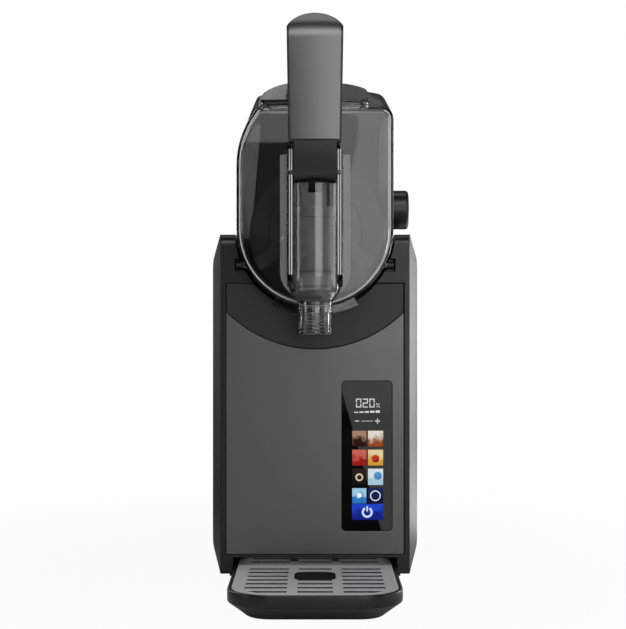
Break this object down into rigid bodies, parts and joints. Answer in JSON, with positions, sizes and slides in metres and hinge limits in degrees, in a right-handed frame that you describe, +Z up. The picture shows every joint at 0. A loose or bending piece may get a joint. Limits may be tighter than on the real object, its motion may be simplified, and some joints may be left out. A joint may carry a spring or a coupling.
{
  "type": "slush machine",
  "caption": "Upright home slush machine: clear freezing vessel round an auger and cold drum, pull-lever tap, touch display, lock knob, and slide-out drip tray with grille.",
  "frame": {"origin": "bottom centre of the whole machine's bounding box, on the plane its feet stand on", "axes": "+Z up, -Y towards the front where the tap and tray are, +X to the right as seen from the front"},
  "size_m": [0.174, 0.422, 0.4707],
  "materials": {
    "black_plastic": "satin moulded",
    "cover_grey": "satin painted",
    "panel_metallic": "metallic paint",
    "bib_dark": "satin moulded",
    "display_black": "gloss",
    "smoke_clear": "clear gloss",
    "tap_clear": "clear gloss",
    "lid_smoke": "clear gloss",
    "lever_metallic": "brushed and lacquered",
    "steel": "brushed",
    "copper": "drawn",
    "aluminium": "mill",
    "rubber_black": "matt",
    "black_steel": "gloss enamel",
    "board_green": "solder mask",
    "acetal": "moulded",
    "auger_grey": "satin moulded",
    "grille_grey": "satin metallic"
  },
  "bodies": {
    "machine": {"base_pan": "black_plastic", "feet": "rubber_black", "front_frame": "black_plastic", "front_panel": "panel_metallic", "bib_panel": "bib_dark", "display_glass": "display_black", "display_board": "board_green", "side_cover_left": "cover_grey", "side_cover_right": "cover_grey", "rear_cover": "black_plastic", "upper_back": "black_plastic", "rear_screws": "steel", "cradle": "black_plastic", "upper_housing": "black_plastic", "evaporator_plate": "acetal", "evaporator_drum": "steel", "evaporator_coil": "copper", "shaft_bushing": "acetal", "shaft_seal": "rubber_black", "gearbox_case": "black_plastic", "gearbox_cover": "black_plastic", "gear_motor": "steel", "compressor": "black_steel", "compressor_mounts": "rubber_black", "condenser": "aluminium", "fan_frame": "black_plastic", "filter_drier": "copper", "discharge_line": "copper", "suction_line": "copper", "power_board": "board_green", "cord_gland": "black_plastic", "tray_dock": "black_plastic"},
    "auger_unit": {"auger": "auger_grey", "drive_shaft": "steel", "drive_gear": "acetal"},
    "motor_rotor": {"motor_pinion": "acetal"},
    "fan": {"fan_rotor": "black_plastic"},
    "vessel_unit": {"vessel": "smoke_clear", "vessel_gasket": "rubber_black", "vessel_lugs": "black_plastic", "lid_hinge_pin": "steel", "tap_column": "tap_clear", "tap_nozzle": "tap_clear", "lever_pivot_pin": "steel", "lever_spring": "steel"},
    "lid": {"fill_lid": "lid_smoke"},
    "lever": {"lever_body": "black_plastic", "lever_cover": "lever_metallic", "crank_pin": "steel"},
    "plunger": {"tap_plunger": "tap_clear", "plunger_seals": "rubber_black"},
    "lock": {"lock_knob": "black_plastic", "lock_cam": "black_plastic"},
    "tray": {"drip_tray": "black_plastic"},
    "grille": {"drip_grille": "grille_grey"},
    "float": {"drip_float": "black_plastic"}
  },
  "joints": [
    {"name": "vessel_slide", "type": "slide", "parent": "machine", "child": "vessel_unit", "axis": [0, -1, 0], "range_m": [0, 0.17]},
    {"name": "lever_pull", "type": "hinge", "parent": "vessel_unit", "child": "lever", "pos_m": [0, -0.151, 0.3425], "axis": [1, 0, 0], "range_deg": [0, 60], "stiffness_Nm_per_rad": 0.3, "springref_deg": -28.65},
    {"name": "plunger_lift", "type": "slide", "parent": "vessel_unit", "child": "plunger", "axis": [0, 0, 1], "range_m": [0, 0.01402]},
    {"name": "lid_open", "type": "hinge", "parent": "vessel_unit", "child": "lid", "pos_m": [0, 0.00957, 0.44462], "axis": [-1, 0, 0], "range_deg": [0, 95]},
    {"name": "auger_spin", "type": "hinge", "parent": "machine", "child": "auger_unit", "pos_m": [0, -0.05, 0.301], "axis": [0, 1, 0], "continuous": true},
    {"name": "motor_spin", "type": "hinge", "parent": "machine", "child": "motor_rotor", "pos_m": [0, 0.039, 0.3311], "axis": [0, 1, 0], "continuous": true},
    {"name": "fan_spin", "type": "hinge", "parent": "machine", "child": "fan", "pos_m": [0, 0.145, 0.078], "axis": [0, 1, 0], "continuous": true},
    {"name": "lock_turn", "type": "hinge", "parent": "machine", "child": "lock", "pos_m": [0.076, 0.038, 0.33], "axis": [1, 0, 0], "range_deg": [0, 90]},
    {"name": "tray_slide", "type": "slide", "parent": "machine", "child": "tray", "axis": [0, -1, 0], "range_m": [0, 0.14]},
    {"name": "grille_lift", "type": "slide", "parent": "tray", "child": "grille", "axis": [0, 0, 1], "range_m": [0, 0.06]},
    {"name": "float_rise", "type": "slide", "parent": "tray", "child": "float", "axis": [0, 0, 1], "range_m": [0, 0.008]}
  ],
  "couplings": [
    {"joint": "plunger_lift", "follows": "lever_pull", "m_per_rad": 0.013369},
    {"joint": "motor_spin", "follows": "auger_spin", "ratio": -3}
  ]
}
